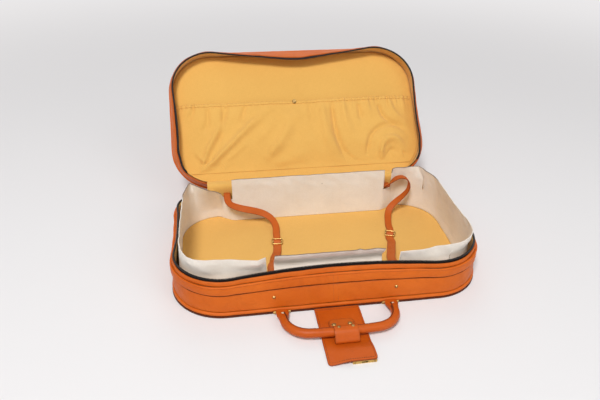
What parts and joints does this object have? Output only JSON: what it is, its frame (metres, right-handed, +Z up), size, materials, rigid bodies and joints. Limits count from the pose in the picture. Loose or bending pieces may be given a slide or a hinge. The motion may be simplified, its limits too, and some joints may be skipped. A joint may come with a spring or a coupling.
{
  "type": "leather suitcase",
  "caption": "Soft leather suitcase lying open: zipped shallow base with folding inner walls, straps and a handle flap, and a hinged lid with a gathered pocket.",
  "frame": {"origin": "centre of the base's closed outline, on the underside that lies on the floor", "axes": "+X to the right along the case as seen from the handle side, +Y from the handle side to the hinge, +Z up; the lid leans back in +Y"},
  "size_m": [0.555, 0.7077, 0.2817],
  "materials": {
    "leather": "smooth tan leather with a soft sheen",
    "edge": "painted dark leather edge",
    "lining": "yellow cotton twill",
    "cream": "matt cream split leather",
    "zip_cloth": "black woven tape",
    "zip_teeth": "black moulded coil",
    "brass": "polished brass",
    "board": "pressed fibre board",
    "core": "twisted cord"
  },
  "bodies": {
    "base": {"base_panel": "leather", "base_board": "board", "base_welt": "leather", "base_frame": "board", "base_side_lining": "lining", "base_zip_tape": "zip_cloth", "base_zip_teeth": "zip_teeth", "base_lower_band": "leather", "base_raised_band": "leather", "base_top_band": "leather", "base_floor": "lining", "hinge_strip": "leather", "inner_wall_band": "cream", "left_wrap": "cream", "right_wrap": "cream", "left_back_strap": "leather", "left_front_strap": "leather", "left_buckle": "brass", "right_back_strap": "leather", "right_front_strap": "leather", "right_buckle": "brass", "front_rivets": "brass", "back_rivets": "brass", "left_handle_ring": "brass", "right_handle_ring": "brass", "left_handle_tab": "leather", "right_handle_tab": "leather", "flap_root": "leather"},
    "lid": {"lid_panel": "leather", "lid_board": "board", "lid_welt": "leather", "lid_frame": "board", "lid_side_lining": "lining", "lid_zip_tape": "zip_cloth", "lid_zip_teeth": "zip_teeth", "lid_wall": "leather", "lid_ceiling_lining": "lining", "lid_hinge_strip": "leather", "lid_pocket": "lining", "pocket_hem": "lining", "pocket_snap_cap": "brass", "pocket_snap_post": "brass", "lock_staple": "brass", "staple_rivets": "brass"},
    "back_flap_body": {"back_flap": "cream"},
    "front_flap_body": {"front_flap": "cream"},
    "handle_body": {"handle": "leather", "handle_core": "core"},
    "lock_flap_body": {"lock_flap": "leather", "keeper_patch": "leather", "keeper_loop": "leather", "patch_studs": "brass", "keeper_studs": "brass", "lock_case": "brass", "lock_plate": "brass", "lock_screws": "brass"},
    "left_slider_body": {"left_zip_slider": "brass"},
    "right_slider_body": {"right_zip_slider": "brass"},
    "left_pull_body": {"left_zip_pull": "brass"},
    "right_pull_body": {"right_zip_pull": "brass"}
  },
  "joints": [
    {"name": "lid_hinge", "type": "hinge", "parent": "base", "child": "lid", "pos_m": [0, 0.1607, 0.072], "axis": [-1, 0, 0], "range_deg": [-137, 48]},
    {"name": "back_flap_fold", "type": "hinge", "parent": "base", "child": "back_flap_body", "pos_m": [0, 0.1254, 0.056], "axis": [1, 0, 0], "range_deg": [0, 80]},
    {"name": "front_flap_fold", "type": "hinge", "parent": "base", "child": "front_flap_body", "pos_m": [0, -0.1224, 0.056], "axis": [-1, 0, 0], "range_deg": [0, 80]},
    {"name": "handle_swing", "type": "hinge", "parent": "base", "child": "handle_body", "pos_m": [0, -0.1645, 0.0075], "axis": [-1, 0, 0], "range_deg": [0, 75]},
    {"name": "flap_fold", "type": "hinge", "parent": "base", "child": "lock_flap_body", "pos_m": [0, -0.1645, 0.0075], "axis": [-1, 0, 0], "range_deg": [0, 75]},
    {"name": "zip_left_travel", "type": "hinge", "parent": "base", "child": "left_slider_body", "pos_m": [-0.185, 0.0675, 0.072], "axis": [0, 0, 1], "range_deg": [0, 50]},
    {"name": "zip_right_travel", "type": "hinge", "parent": "base", "child": "right_slider_body", "pos_m": [0.185, 0.0675, 0.072], "axis": [0, 0, -1], "range_deg": [0, 50]},
    {"name": "zip_left_pull", "type": "hinge", "parent": "left_slider_body", "child": "left_pull_body", "pos_m": [-0.24158, 0.13992, 0.0704], "axis": [0.788, 0.6157, 0], "range_deg": [0, 100]},
    {"name": "zip_right_pull", "type": "hinge", "parent": "right_slider_body", "child": "right_pull_body", "pos_m": [0.24158, 0.13992, 0.0704], "axis": [0.788, -0.6157, 0], "range_deg": [0, 100]}
  ],
  "couplings": [
    {"joint": "flap_fold", "follows": "handle_swing", "ratio": 1}
  ]
}
